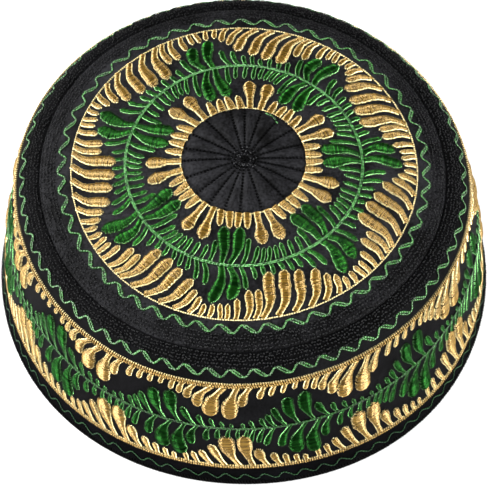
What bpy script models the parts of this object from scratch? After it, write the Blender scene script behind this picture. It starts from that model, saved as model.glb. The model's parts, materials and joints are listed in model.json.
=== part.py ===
# Embroidered kufi: a soft round cap with a gently domed crown, a rounded shoulder
# and a tall side wall that widens a little towards its hem.
#
# Metres, +Z up. The hat stands on its hem at z = 0, with its axis on +Z.
# The front of the hat faces -Y.
#
# Every wall is described by two numbers: how far a point lies from the pole along
# the outer surface, and how deep it lies under that surface.

import math

import bmesh
import bpy
import numpy as np

# Outline of the outer surface
OUTLINE = (
    # (radius, height above the hem's lower edge)
    (0.0000, 0.0768),  # pole
    (0.0115, 0.0764),  # middle of the quilted centre disc
    (0.0229, 0.0755),  # edge of the centre disc
    (0.0440, 0.0727),  # green vine ring
    (0.0617, 0.0692),  # outer gold ring of the crown
    (0.0700, 0.0669),  # stitched black border
    (0.0765, 0.0644),  # stitched black border, past the seam
    (0.0796, 0.0622),  # rounded shoulder
    (0.0816, 0.0590),  # upper gold border of the wall
    (0.0829, 0.0545),  # top of the wall
    (0.0864, 0.0325),  # middle of the wall
    (0.0895, 0.0095),  # lower gold border of the wall
    (0.0920, 0.0000),  # hem
)

# Where things lie, measured from the pole along the outer surface
DISC_EDGE = 0.0229
CROWN_SEAM = 0.0746
LAP_LENGTH = 0.0040
HEM_STRIP_WIDTH = 0.0084

# Cloth
WALL = 0.0024
SEAM_GAP = 0.0003
ALLOWANCE_DEPTH = 0.0054
ALLOWANCE_WALL = 0.0012
OUTER_PLY = 0.00105

# Centre disc: puffs between radial lines of quilting
PUFF_HEIGHT = 0.0007
QUILT_LINES_DEG = (0, 15, 34, 52, 70, 86, 101, 127, 148, 166, 181, 201, 221, 237, 253, 268, 288, 312, 331, 346)
KNOT_RADIUS = 0.0028

# Shape of a sewn hat that isn't perfectly round
OUT_OF_ROUND = (
    # (waves around the hat, size, turn in degrees, felt at the hem)
    (2, 0.00051, 255.0, 1.0),
    (4, 0.00044, 173.0, 1.0),
    (1, 0.00026, 295.0, 0.0),
    (2, 0.00041, 43.0, 0.0),
    (3, 0.00032, 78.0, 0.0),
    (4, 0.00034, 334.0, 0.0),
)
CROWN_RIPPLE = (
    # (waves around the hat, size, turn in degrees)
    (2, 0.00120, 231.0),
    (3, 0.00038, 253.0),
)

STEPS = 96

FABRICS = {
    # (colour, roughness, metallic)
    "crown_panel": ((0.024, 0.022, 0.029, 1.0), 0.72, 0.0),
    "side_band": ((0.027, 0.025, 0.032, 1.0), 0.70, 0.0),
    "hem_strip": ((0.016, 0.015, 0.018, 1.0), 0.80, 0.0),
}


# Start with an empty scene
def clear_scene():
    for thing in list(bpy.data.objects):
        bpy.data.objects.remove(thing, do_unlink=True)
    for mesh in list(bpy.data.meshes):
        bpy.data.meshes.remove(mesh)


# Outline as a smooth curve read by distance from the pole
def smooth_outline(points, samples=24):
    ends = [(-points[1][0], points[1][1])]
    last, before = points[-1], points[-2]
    ends.append((2 * last[0] - before[0], 2 * last[1] - before[1]))
    knots = np.array([ends[0]] + list(points) + [ends[1]])
    curve = []
    for a, b, c, d in zip(knots, knots[1:], knots[2:], knots[3:]):
        for k in range(samples):
            t = k / samples
            curve.append(0.5 * (2 * b + (c - a) * t + (2 * a - 5 * b + 4 * c - d) * t ** 2
                                + (3 * b - a - 3 * c + d) * t ** 3))
    curve.append(knots[-2])
    curve = np.array(curve)
    steps = np.hypot(*np.diff(curve, axis=0).T)
    along = np.concatenate([[0.0], np.cumsum(steps)])
    return along, curve


ALONG, CURVE = smooth_outline(OUTLINE)
HEM = ALONG[-1]
LAP_TOP = HEM - HEM_STRIP_WIDTH


def outline_at(distance, depth):
    radius = np.interp(distance, ALONG, CURVE[:, 0])
    height = np.interp(distance, ALONG, CURVE[:, 1])
    low, high = max(distance - 0.0012, 0.0), min(distance + 0.0012, HEM)
    run = np.interp(high, ALONG, CURVE[:, 0]) - np.interp(low, ALONG, CURVE[:, 0])
    drop = np.interp(low, ALONG, CURVE[:, 1]) - np.interp(high, ALONG, CURVE[:, 1])
    if distance < 1e-6:
        run, drop = 1.0, 0.0
    size = math.hypot(run, drop)
    out, up = drop / size, run / size
    return radius - depth * out, height - depth * up, out, up


def smooth_step(value, low, high):
    t = min(max((value - low) / (high - low), 0.0), 1.0)
    return t * t * (3 - 2 * t)


# Puffs between the quilting lines of the centre disc
def puff(distance, angle_deg):
    lines = list(QUILT_LINES_DEG) + [QUILT_LINES_DEG[0] + 360]
    turn = angle_deg % 360
    for start, end in zip(lines, lines[1:]):
        if start <= turn < end:
            across = math.sin(math.pi * (turn - start) / (end - start))
            break
    fade = smooth_step(distance, KNOT_RADIUS, 0.011) * (1 - 0.75 * smooth_step(distance, 0.017, DISC_EDGE))
    inside = 1.0 if distance < DISC_EDGE else 0.0
    return PUFF_HEIGHT * across ** 0.7 * fade * inside


# One point of the hat from its distance, depth and angle
def hat_point(distance, depth, angle):
    radius, height, out, up = outline_at(distance, depth)
    share = max(0.0, 1 - depth / WALL)
    lift = share * puff(distance, math.degrees(angle))
    level = smooth_step(height, 0.0, 0.030)
    reach = smooth_step(radius, 0.020, 0.075)
    for waves, size, turn, at_hem in OUT_OF_ROUND:
        weight = at_hem + (1 - at_hem) * level
        radius += reach * weight * size * math.cos(waves * angle - math.radians(turn))
    for waves, size, turn in CROWN_RIPPLE:
        weight = smooth_step(radius, 0.018, 0.055) * smooth_step(height, 0.030, 0.060)
        height += weight * size * math.cos(waves * angle - math.radians(turn))
    return (
        (radius + lift * out) * math.cos(angle),
        (radius + lift * out) * math.sin(angle),
        max(height + lift * up, 0.0),
    )


# Turn a closed outline of (distance, depth) pairs into one solid cloth piece
def turned_cloth(name, outline, meets_axis):
    bm = bmesh.new()
    corners = [bm.verts.new((*outline_at(*pair)[:1], 0.0, outline_at(*pair)[1])) for pair in outline]
    pairs = list(zip(corners, corners[1:]))
    if not meets_axis:
        pairs.append((corners[-1], corners[0]))
    edges = [bm.edges.new(pair) for pair in pairs]
    bmesh.ops.spin(
        bm,
        geom=corners + edges,
        cent=(0, 0, 0),
        axis=(0, 0, 1),
        angle=math.tau,
        steps=STEPS,
        use_merge=True,
    )
    bmesh.ops.remove_doubles(bm, verts=bm.verts, dist=1e-6)
    shape_cloth(bm, outline)
    bmesh.ops.recalc_face_normals(bm, faces=bm.faces)
    mesh = bpy.data.meshes.new(name)
    bm.to_mesh(mesh)
    bm.free()
    return finish_piece(name, mesh)


# Move each turned vertex onto the sewn, slightly uneven hat
def shape_cloth(bm, outline):
    plain = [outline_at(*pair)[:2] for pair in outline]
    for vert in bm.verts:
        radius = math.hypot(vert.co.x, vert.co.y)
        height = vert.co.z
        angle = math.atan2(vert.co.y, vert.co.x) if radius > 1e-6 else 0.0
        gaps = [math.hypot(radius - r, height - z) for r, z in plain]
        nearest = gaps.index(min(gaps))
        vert.co = hat_point(*outline[nearest], angle)


def finish_piece(name, mesh):
    colour, roughness, metallic = FABRICS[name]
    material = bpy.data.materials.new(name + " cloth")
    material.use_nodes = True
    surface = material.node_tree.nodes["Principled BSDF"]
    surface.inputs["Base Color"].default_value = colour
    surface.inputs["Roughness"].default_value = roughness
    surface.inputs["Metallic"].default_value = metallic
    mesh.materials.append(material)
    mesh.shade_smooth()
    mesh.set_sharp_from_angle(angle=math.radians(40))
    piece = bpy.data.objects.new(name, mesh)
    bpy.context.scene.collection.objects.link(piece)
    return piece


# Seam roll: the cloth turns over its edge into the seam, on either side of it
def seam_roll(side):
    edge = 0.5 * SEAM_GAP
    rows = (
        # (distance from the seam, depth)
        (0.0030, 0.00000),
        (0.0014, 0.00020),
        (0.0006, 0.00075),
        (edge, 0.00170),
        (edge, ALLOWANCE_DEPTH),
        (edge + ALLOWANCE_WALL, ALLOWANCE_DEPTH),
        (edge + ALLOWANCE_WALL, WALL),
    )
    return [(CROWN_SEAM + side * away, depth) for away, depth in rows]


# Crown panel: the round top, from the pole to the seam
def build_crown_panel():
    outer = [0.0, 0.0032, 0.0072, 0.0120, 0.0170, 0.0205, 0.0228, 0.0231, 0.0300, 0.0380, 0.0460, 0.0540, 0.0610,
             0.0665]
    inner = [0.0660, 0.0540, 0.0400, 0.0240, 0.0]
    outline = [(s, 0.0) for s in outer] + seam_roll(-1) + [(s, WALL) for s in inner]
    return turned_cloth("crown_panel", outline, meets_axis=True)


# Side band: the shoulder and the tall wall, down to its lap behind the hem strip
def build_side_band():
    outer = [0.0800, 0.0824, 0.0846, 0.0870, 0.0930, 0.1030, 0.1130, 0.1230, LAP_TOP]
    inner = [LAP_TOP, 0.1200, 0.1030, 0.0890, 0.0850, 0.0815]
    tongue = [
        (LAP_TOP, OUTER_PLY + SEAM_GAP),
        (LAP_TOP + LAP_LENGTH, OUTER_PLY + SEAM_GAP),
        (LAP_TOP + LAP_LENGTH, WALL),
    ]
    outline = list(reversed(seam_roll(1)))
    outline += [(s, 0.0) for s in outer] + tongue + [(s, WALL) for s in inner]
    return turned_cloth("side_band", outline, meets_axis=False)


# Hem strip: the plain black edge that the hat stands on
def build_hem_strip():
    top = LAP_TOP + SEAM_GAP
    ledge = LAP_TOP + LAP_LENGTH + SEAM_GAP
    outline = [
        (top, 0.0),
        (0.5 * (top + HEM), 0.0),
        (HEM - 0.0005, 0.0),
        (HEM, 0.0004),
        (HEM, WALL),
        (HEM - 0.0012, WALL),
        (ledge, WALL),
        (ledge, OUTER_PLY),
        (top, OUTER_PLY),
    ]
    return turned_cloth("hem_strip", outline, meets_axis=False)


clear_scene()
kufi = bpy.data.objects.new("kufi", None)
bpy.context.scene.collection.objects.link(kufi)
for piece in (build_crown_panel(), build_side_band(), build_hem_strip()):
    piece.parent = kufi
    print(piece.name, len(piece.data.polygons), "faces", [round(1000 * size, 1) for size in piece.dimensions])
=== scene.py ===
# %% [markdown]
# # Embroidered kufi
#
# A kufi is a round cap without a brim. This one is black twill with a gently domed crown, a stitched
# shoulder and a tall side wall, and it is covered with satin stitch in gold and green thread.
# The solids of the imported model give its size. Here the plain cloth is made finely, and every stitch
# is laid on it as a thread of its own.

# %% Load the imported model
import json
import math

import bpy
import numpy as np
from mathutils import Matrix, Vector

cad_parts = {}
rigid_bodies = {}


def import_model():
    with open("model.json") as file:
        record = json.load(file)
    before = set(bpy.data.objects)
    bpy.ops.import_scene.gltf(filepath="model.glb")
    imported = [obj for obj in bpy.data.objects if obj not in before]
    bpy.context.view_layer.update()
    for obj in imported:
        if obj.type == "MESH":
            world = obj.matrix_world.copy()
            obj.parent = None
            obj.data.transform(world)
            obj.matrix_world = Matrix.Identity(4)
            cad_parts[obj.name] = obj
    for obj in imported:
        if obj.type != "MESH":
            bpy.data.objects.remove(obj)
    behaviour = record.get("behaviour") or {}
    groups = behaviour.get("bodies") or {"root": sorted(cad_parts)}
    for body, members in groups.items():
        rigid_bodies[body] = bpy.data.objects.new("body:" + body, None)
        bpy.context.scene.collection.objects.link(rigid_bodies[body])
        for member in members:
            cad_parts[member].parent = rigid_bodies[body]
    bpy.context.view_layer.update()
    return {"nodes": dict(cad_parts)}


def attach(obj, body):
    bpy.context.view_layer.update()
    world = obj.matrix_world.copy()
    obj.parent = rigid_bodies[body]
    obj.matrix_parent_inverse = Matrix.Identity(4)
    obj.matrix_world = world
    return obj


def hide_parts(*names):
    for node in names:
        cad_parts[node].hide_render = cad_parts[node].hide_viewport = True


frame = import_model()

print("cloth pieces of the model:", sorted(frame["nodes"]))

# %% [markdown]
# ## One surface for everything
#
# Cloth and thread have to lie on each other, so both are placed by one function. A place on the cap is
# named by its distance from the pole, measured along the cloth, and by its turn around the axis.
# A turn of 270 degrees is the front. The cap could be a plain turned shape, but a sewn one is never
# quite round, so a few slow waves push it in and out.

# %% Outline of the cap
MM = 0.001

OUTLINE = (
    # (radius, height above the hem), in mm
    (0.0, 76.8),  # pole
    (11.5, 76.4),  # middle of the quilted centre disc
    (22.9, 75.5),  # edge of the centre disc
    (44.0, 72.7),  # green vine
    (61.7, 69.2),  # outer gold ring of the crown
    (70.0, 66.9),  # stitched black shoulder
    (76.5, 64.4),  # past the seam
    (79.6, 62.2),  # rounded edge
    (81.6, 59.0),  # upper gold border of the wall
    (82.9, 54.5),
    (86.4, 32.5),  # middle of the wall
    (89.5, 9.5),  # lower gold border of the wall
    (92.0, 0.0),  # hem
)
OUT_OF_ROUND = (
    # (waves around the cap, size in mm, turn in degrees, share of it felt at the hem)
    (2, 0.51, 255, 1),
    (4, 0.44, 173, 1),
    (1, 0.26, 295, 0),
    (2, 0.41, 43, 0),
    (3, 0.32, 78, 0),
    (4, 0.34, 334, 0),
)
CROWN_RIPPLE = (
    # (waves around the cap, size in mm, turn in degrees)
    (2, 1.20, 231),
    (3, 0.38, 253),
)


def smooth_outline(points, samples=24):
    points = MM * np.array(points)
    before = points[1] * (-1, 1)
    after = 2 * points[-1] - points[-2]
    knots = np.vstack([before, points, after])
    t = np.arange(samples)[:, None] / samples
    parts = [
        0.5 * (2 * b + (c - a) * t + (2 * a - 5 * b + 4 * c - d) * t**2 + (3 * b - a - 3 * c + d) * t**3)
        for a, b, c, d in zip(knots, knots[1:], knots[2:], knots[3:])
    ]
    curve = np.vstack(parts + [knots[-2:-1]])
    steps = np.hypot(*np.diff(curve, axis=0).T)
    return np.append(0, np.cumsum(steps)), curve


ALONG, CURVE = smooth_outline(OUTLINE)
HEM = ALONG[-1]
print(f"the cloth runs {HEM / MM:.1f} mm from the pole to the hem")


# %% A place on the cap
SLOPE_REACH = 1.2 * MM  # how far to either side of a place its slope is read


def smooth_step(value, low, high):
    share = np.clip((value - low) / (high - low), 0, 1)
    return share * share * (3 - 2 * share)


def cap_radius(distance):
    return np.interp(distance, ALONG, CURVE[:, 0])


def cap_height(distance):
    return np.interp(distance, ALONG, CURVE[:, 1])


def on_cap(distance, turn, lift=0.0):
    """The point at a distance from the pole and a turn around the axis, lifted off the cloth."""
    radius, height = cap_radius(distance), cap_height(distance)
    inner, outer = np.maximum(distance - SLOPE_REACH, 0), np.minimum(distance + SLOPE_REACH, HEM)
    run = cap_radius(outer) - cap_radius(inner)
    drop = cap_height(inner) - cap_height(outer)
    slope = np.hypot(run, drop)
    out, up = drop / slope, run / slope
    # the waves grow from the middle of the crown outwards, and some die away again towards the hem
    reach, level = smooth_step(radius, 20 * MM, 75 * MM), smooth_step(height, 0, 30 * MM)
    moved = 0 * turn + radius
    for waves, size, start, at_hem in OUT_OF_ROUND:
        share = at_hem + (1 - at_hem) * level
        moved = moved + reach * share * size * MM * np.cos(waves * turn - math.radians(start))
    # the ripple lifts and lowers only the crown
    rippled = smooth_step(radius, 18 * MM, 55 * MM) * smooth_step(height, 30 * MM, 60 * MM)
    raised = 0 * turn + height
    for waves, size, start in CROWN_RIPPLE:
        raised = raised + rippled * size * MM * np.cos(waves * turn - math.radians(start))
    moved, raised = moved + lift * out, raised + lift * up
    return np.stack([moved * np.cos(turn), moved * np.sin(turn), np.maximum(raised, 0)], -1)


def cap_normal(distance, turn):
    """Which way is up off the cloth there."""
    step, step_turn = 0.2 * MM, 0.002
    down = on_cap(distance + step, turn) - on_cap(distance - step, turn)
    around = on_cap(distance, turn + step_turn) - on_cap(distance, turn - step_turn)
    up = np.cross(down, around)
    return up / np.linalg.norm(up, axis=-1, keepdims=True)


# %% [markdown]
# ## Camera, floor and light
#
# The photograph was taken from in front and well above the cap, with a long lens. The camera's tilt,
# distance and small roll come from fitting the cap's rings. Two large softboxes stand behind the cap,
# on the left and on the right, and light its crown. Two low ones stand in front, for its wall. Satin
# stitch shines only where its threads lie across the light, so this light makes the sprays at the
# sides pale, and leaves those in front deep in colour with bright outlines.
# The bright outlines are partly this light on the ends of the stitches, and partly painted highlight in the
# threads' colour there.

# %% Camera
CAMERA_TILT = 58.51
CAMERA_ROLL = -0.94
CAMERA_DISTANCE = 1.2
CAMERA_RIGHT = -0.07 * MM
CAMERA_UP = 9.47 * MM
AIM = Vector((0.38 * MM, -0.14 * MM, 0))  # what the camera's place is counted from
FOCAL_PIXELS = 3175.3
PHOTO_WIDTH = 488
SENSOR_WIDTH = 36


def add_camera():
    tilt, roll = math.radians(CAMERA_TILT), math.radians(CAMERA_ROLL)
    forward = Vector((0, math.cos(tilt), -math.sin(tilt)))
    across = Vector((1, 0, 0))
    upward = across.cross(forward)
    place = AIM - forward * CAMERA_DISTANCE + across * CAMERA_RIGHT + upward * CAMERA_UP
    rolled = across * math.cos(roll) + upward * math.sin(roll)
    data = bpy.data.cameras.new("camera")
    data.sensor_width = SENSOR_WIDTH
    data.lens = FOCAL_PIXELS / PHOTO_WIDTH * SENSOR_WIDTH
    camera = bpy.data.objects.new("camera", data)
    turned = Matrix((rolled, rolled.cross(forward), -forward)).transposed()
    camera.matrix_world = Matrix.Translation(place) @ turned.to_4x4()
    bpy.context.scene.collection.objects.link(camera)
    bpy.context.scene.camera = camera
    print(f"lens {data.lens:.0f} mm, {CAMERA_DISTANCE} m away, looking down {CAMERA_TILT} degrees")


add_camera()
# colours come out as their shaders give them, with no film curve over them
bpy.context.scene.view_settings.view_transform = "Standard"


# %% Helpers for colours and nodes
def linear(hex_colour, alpha=1.0):
    """An sRGB hex colour as the linear values that Blender's shaders take."""
    parts = [int(hex_colour[i : i + 2], 16) / 255 for i in (1, 3, 5)]
    return (*(c / 12.92 if c <= 0.04045 else ((c + 0.055) / 1.055) ** 2.4 for c in parts), alpha)


def add_node(tree, kind, inputs=None, **settings):
    """A node with its settings, and each input either set to a value or linked to a socket."""
    made = tree.nodes.new(kind)
    for name, value in settings.items():
        setattr(made, name, value)
    for name, value in (inputs or {}).items():
        if isinstance(value, bpy.types.NodeSocket):
            tree.links.new(value, made.inputs[name])
        else:
            made.inputs[name].default_value = value
    return made


# %% Floor and softboxes
FLOOR_HALF = 3.0
SOFTBOX_DISTANCE = 1.3
LIT_POINT = Vector((0, 0, 0.05))
SOFTBOXES = (
    # (name, azimuth and elevation in degrees, (width, height) in m, watts)
    ("left softbox", 152, 36, (0.9, 0.9), 58),
    ("right softbox", 24, 34, (0.9, 0.9), 25),
    ("low left softbox", 207, 11, (0.8, 0.5), 52),
    ("low right softbox", 319, 11, (0.8, 0.5), 60),
)
ROOM_LIGHT = 0.04


def add_floor():
    mesh = bpy.data.meshes.new("floor")
    corners = [(x * FLOOR_HALF, y * FLOOR_HALF, 0) for x, y in ((-1, -1), (1, -1), (1, 1), (-1, 1))]
    mesh.from_pydata(corners, [], [(0, 1, 2, 3)])
    # matt paper that glows a little, which makes it as evenly white as a bright studio floor
    paper = bpy.data.materials.new("matt white paper")
    paper.use_nodes = True
    shader = paper.node_tree.nodes["Principled BSDF"]
    shader.inputs["Base Color"].default_value = linear("#8c8c8c")
    shader.inputs["Roughness"].default_value = 0.9
    shader.inputs["Specular IOR Level"].default_value = 0.2
    shader.inputs["Emission Color"].default_value = linear("#ffffff")
    shader.inputs["Emission Strength"].default_value = 0.60
    mesh.materials.append(paper)
    floor = bpy.data.objects.new("floor", mesh)
    bpy.context.scene.collection.objects.link(floor)


def add_softbox(name, azimuth, elevation, size, watts):
    data = bpy.data.lights.new(name, "AREA")
    data.shape = "RECTANGLE"
    data.size, data.size_y = size
    data.energy = watts
    azimuth, elevation = math.radians(azimuth), math.radians(elevation)
    level = math.cos(elevation)
    away = Vector((level * math.cos(azimuth), level * math.sin(azimuth), math.sin(elevation)))
    light = bpy.data.objects.new(name, data)
    light.location = away * SOFTBOX_DISTANCE + LIT_POINT
    light.rotation_euler = away.to_track_quat("Z", "Y").to_euler()
    bpy.context.scene.collection.objects.link(light)


add_floor()
for softbox in SOFTBOXES:
    add_softbox(*softbox)

world = bpy.data.worlds.new("studio")
bpy.context.scene.world = world
world.use_nodes = True
background = world.node_tree.nodes["Background"].inputs
background["Color"].default_value = linear("#ffffff")
background["Strength"].default_value = ROOM_LIGHT
print(len(SOFTBOXES), "softboxes of", [box[-1] for box in SOFTBOXES], "watts")

# %% [markdown]
# ## Black twill
#
# The ground cloth is black polyester twill: fine diagonal ribs, matt, with a faint sheen. The ribs
# of such a cloth are about 0.3 mm apart, which is finer than a pixel of the photograph, so they are
# drawn at 0.6 mm. A wave texture gives the ribs. It runs on the UV map, which holds the flat cloth
# in metres, so the ribs keep their size where the cloth bends.

# %% Twill material
TWILL_RIB = 0.6 * MM
WAVE_PERIOD = 2 * math.pi / 20  # length of one straight band of Blender's wave texture at scale 1
MOTTLE_SIZE = 12 * MM
LINT_SIZE = 0.8 * MM
NEEDLE_HOLES_APART = 1.25 * MM


def twill(name, dark, pale, roughness, rib_turn, gloss, sheen):
    material = bpy.data.materials.new(name)
    material.use_nodes = True
    tree = material.node_tree
    shader = tree.nodes["Principled BSDF"]
    flat = add_node(tree, "ShaderNodeUVMap", uv_map="flat cloth").outputs["UV"]
    slant = (0, 0, math.radians(rib_turn))
    slanted = add_node(tree, "ShaderNodeMapping", {"Vector": flat, "Rotation": slant}).outputs[0]
    woven = {"Scale": WAVE_PERIOD / TWILL_RIB, "Distortion": 1.5, "Detail": 1.0, "Detail Scale": 2.0}
    ribs = add_node(tree, "ShaderNodeTexWave", {"Vector": slanted, **woven}).outputs["Fac"]
    # slow changes of tone, as hands and the needle leave the nap, and fine lint
    place = add_node(tree, "ShaderNodeTexCoord").outputs["Object"]
    slow = {"Vector": place, "Scale": 1 / MOTTLE_SIZE, "Detail": 2.0}
    fine = {"Vector": place, "Scale": 1 / LINT_SIZE, "Detail": 2.0}
    mottle = add_node(tree, "ShaderNodeTexNoise", slow).outputs[0]
    lint = add_node(tree, "ShaderNodeTexNoise", fine).outputs[0]
    blend = add_node(tree, "ShaderNodeMath", {0: mottle, 1: lint}, operation="MULTIPLY").outputs[0]
    # the cloth of the stitched shoulder is painted darker, as painted shade
    stitched = add_node(tree, "ShaderNodeAttribute", attribute_name="stitched").outputs["Fac"]
    shoulder_painted_shade = add_node(tree, "ShaderNodeMapRange", {0: stitched, 3: 1.0, 4: 0.8}).outputs[0]
    blend = add_node(tree, "ShaderNodeMath", {0: blend, 1: shoulder_painted_shade}, operation="MULTIPLY").outputs[0]
    spread = add_node(tree, "ShaderNodeMapRange", {0: blend, 1: 0.14, 2: 0.37}).outputs[0]
    tones = {0: spread, 6: linear(dark), 7: linear(pale)}
    colour = add_node(tree, "ShaderNodeMix", tones, data_type="RGBA").outputs[2]
    # where rows of stitches cross the shoulder, each needle leaves a small pit, dented by the bump below and
    # painted near black as painted shade in the hole
    rowed = add_node(tree, "ShaderNodeUVMap", uv_map="stitch rows").outputs["UV"]
    pierced = {"Vector": rowed, "Scale": 1 / NEEDLE_HOLES_APART, "Randomness": 0.7}
    holes = add_node(tree, "ShaderNodeTexVoronoi", pierced).outputs[0]
    hole_depth_and_shade = add_node(tree, "ShaderNodeMapRange", {0: holes, 1: 0.42, 2: 0.12}).outputs[0]
    hole_depth_and_shade = add_node(tree, "ShaderNodeMath", {0: hole_depth_and_shade, 1: stitched}, operation="MULTIPLY").outputs[0]
    tones = {0: hole_depth_and_shade, 6: colour, 7: linear("#020203")}
    colour = add_node(tree, "ShaderNodeMix", tones, data_type="RGBA").outputs[2]
    # ribs, lint and pits stand in relief, each on top of the last
    relief = {"Strength": 0.35, "Distance": 0.06 * MM, "Height": ribs}
    ribbed = add_node(tree, "ShaderNodeBump", relief).outputs[0]
    relief = {"Strength": 0.25, "Distance": 0.10 * MM, "Height": lint, "Normal": ribbed}
    fluffy = add_node(tree, "ShaderNodeBump", relief).outputs[0]
    relief = {"Strength": 0.9, "Distance": 0.30 * MM, "Height": hole_depth_and_shade, "Normal": fluffy}
    dented = add_node(tree, "ShaderNodeBump", relief, invert=True).outputs[0]
    tree.links.new(colour, shader.inputs["Base Color"])
    tree.links.new(dented, shader.inputs["Normal"])
    shader.inputs["Roughness"].default_value = roughness
    shader.inputs["Specular IOR Level"].default_value = gloss
    shader.inputs["Sheen Weight"].default_value = sheen
    shader.inputs["Sheen Roughness"].default_value = 0.5
    shader.inputs["Sheen Tint"].default_value = linear("#a8a4bc")
    return material


# the crown lies flat under the light and looks dark grey, the wall turns away from it and looks black, and
# the hem darker still; the three copies of the twill are painted paler or darker to match, as painted light
# and shade
CROWN_TWILL = twill("black polyester twill, crown", "#020202", "#1b1b1d", 0.62, 45, 0.03, 0.005)
WALL_TWILL = twill("black polyester twill, wall", "#010101", "#070708", 0.64, 40, 0.02, 0.006)
HEM_TWILL = twill("black polyester twill, hem", "#010101", "#040405", 0.70, 40, 0.01, 0.005)

# %% [markdown]
# ## The cloth
#
# The cap has three cut pieces: a round crown panel, a side band and a hem strip. Each could be a flat
# shape that a simulation sews together, but a stiffened cap keeps the shape of its block. So each piece
# is the same closed section as its solid, turned around the axis in much finer steps.
# The centre disc gets the soft puffs that stand between its quilting lines.

# %% Where the cloth is sewn
DISC_EDGE = 22.9 * MM
CROWN_SEAM = 74.6 * MM
HEM_STRIP_WIDTH = 8.4 * MM
LAP_TOP = HEM - HEM_STRIP_WIDTH
LAP_LENGTH = 4.0 * MM
WALL = 2.4 * MM
SEAM_GAP = 0.02 * MM  # so narrow that no floor shows through the seam
ALLOWANCE_DEPTH = 5.4 * MM
ALLOWANCE_WALL = 1.2 * MM
OUTER_PLY = 1.05 * MM
SEAM_ROLL = 2.9 * MM
SEAM_DEPTH = 0.75 * MM
SEAM_CURVE = 1.8  # how sharply the cloth rolls down into the seam
PUFF_HEIGHT = 0.95 * MM
PUFF_FULL = (11 * MM, 18 * MM)  # between these distances from the knot the puffs have their full height
KNOT_RADIUS = 2.8 * MM
KNOT = (1.0 * MM, -0.8 * MM)
QUILT_LINES = (2, 18, 37, 55, 73, 89, 103, 128, 148, 165, 179, 198, 218, 234, 250, 265, 286, 311, 332, 347)
SHOULDER_ROWS = (68.6, 69.9, 71.2, 72.5, 73.7, 75.5, 76.7, 77.9, 79.1, 80.3)


def moved_by(distance, turn, x, y):
    """The place that lies x and y further on, seen from above."""
    x, y = distance * np.cos(turn) + x, distance * np.sin(turn) + y
    return np.hypot(x, y), np.arctan2(y, x)


def puff(distance, turn):
    """Height of the quilted puffs: nothing on a quilting line, most halfway between two."""
    distance, turn = moved_by(distance, turn, -KNOT[0], -KNOT[1])
    lines = np.array(QUILT_LINES + (QUILT_LINES[0] + 360,))
    degrees = (np.degrees(turn) - lines[0]) % 360 + lines[0]
    at = np.clip(np.searchsorted(lines, degrees, side="right") - 1, 0, len(QUILT_LINES) - 1)
    across = np.sin(np.pi * (degrees - lines[at]) / (lines[at + 1] - lines[at]))
    rise = smooth_step(distance, KNOT_RADIUS, PUFF_FULL[0])
    fade = rise * (1 - smooth_step(distance, PUFF_FULL[1], DISC_EDGE))
    return PUFF_HEIGHT * np.maximum(across, 0) * fade


def seam_dip(distance):
    """How far the cloth has turned down near the crown seam."""
    near = np.clip(1 - np.abs(distance - CROWN_SEAM) / SEAM_ROLL, 0, 1)
    return SEAM_DEPTH * near**SEAM_CURVE


def cloth_level(distance, turn):
    """Height of the finished cloth over the plain surface, for whatever is stitched on it."""
    return puff(distance, turn) - seam_dip(distance)


# %% Turned cloth
STEPS = 360
STRIP_RADIUS = 88.5 * MM  # the wall's mean radius, which makes a length of a turn


def stitched_share(section):
    """How much of the shoulder's stitching each point of a turned section has, from 0 to 1."""
    first, last = SHOULDER_ROWS[0] * MM, SHOULDER_ROWS[-1] * MM
    counts = [1 if distance == 0 else STEPS for distance, _ in section]
    outer = np.repeat([distance if depth < WALL else 0.0 for distance, depth in section], counts)
    below = smooth_step(outer, last + 0.3 * MM, last + 1.1 * MM)
    return (smooth_step(outer, first - 1.0 * MM, first - 0.2 * MM) * (1 - below)).astype(np.float32)


def turned_cloth(name, section, flat_map, material):
    """A closed section of (distance, depth) pairs, turned around the axis into one cloth piece."""
    turns = np.arange(STEPS) * math.tau / STEPS
    points, rings = [], []
    for distance, depth in section:
        if distance == 0:
            rings.append([len(points)] * STEPS)
            points.append(tuple(on_cap(np.array([0.0]), np.array([0.0]), -depth)[0]))
            continue
        lift = puff(distance, turns) if depth == 0 else -depth
        rings.append(list(range(len(points), len(points) + STEPS)))
        points += [tuple(point) for point in on_cap(np.full(STEPS, distance), turns, lift)]
    pairs = list(zip(range(len(section)), range(1, len(section))))
    if section[0][0] > 0:
        pairs.append((len(section) - 1, 0))
    faces, flat_corners, row_corners = [], [], []
    for row, below in pairs:
        for step in range(STEPS):
            corners = [(row, step), (below, step), (below, step + 1), (row, step + 1)]
            # at the pole a ring is one point, so its face has three corners
            if rings[row][0] == rings[row][1]:
                corners.pop(3)
            if rings[below][0] == rings[below][1]:
                corners.pop(2)
            faces.append([rings[at][around % STEPS] for at, around in corners])
            for at, around in corners:
                distance, turn = section[at][0], around * math.tau / STEPS
                flat_corners.append(flat_map(distance, turn))
                row_corners.append((turn * CROWN_SEAM, distance))
    mesh = bpy.data.meshes.new(name)
    mesh.from_pydata(points, [], faces)
    for layer, places in (("flat cloth", flat_corners), ("stitch rows", row_corners)):
        mesh.uv_layers.new(name=layer).data.foreach_set("uv", np.array(places, dtype=np.float32).ravel())
    mesh.attributes.new("stitched", "FLOAT", "POINT").data.foreach_set("value", stitched_share(section))
    mesh.materials.append(material)
    mesh.shade_smooth()
    mesh.set_sharp_from_angle(angle=math.radians(50))
    piece = bpy.data.objects.new(name, mesh)
    bpy.context.scene.collection.objects.link(piece)
    print(name, sum(len(face) - 2 for face in faces), "triangles")
    return piece


# %% Maps and rows of the sections
def round_map(distance, turn):
    return distance * math.cos(turn), distance * math.sin(turn)


def strip_map(distance, turn):
    return turn * STRIP_RADIUS, distance


def rows(low, high, step):
    """Distances in metres from low to high, given in mm."""
    return [MM * value for value in np.linspace(low, high, max(2, round((high - low) / step) + 1))]


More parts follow.
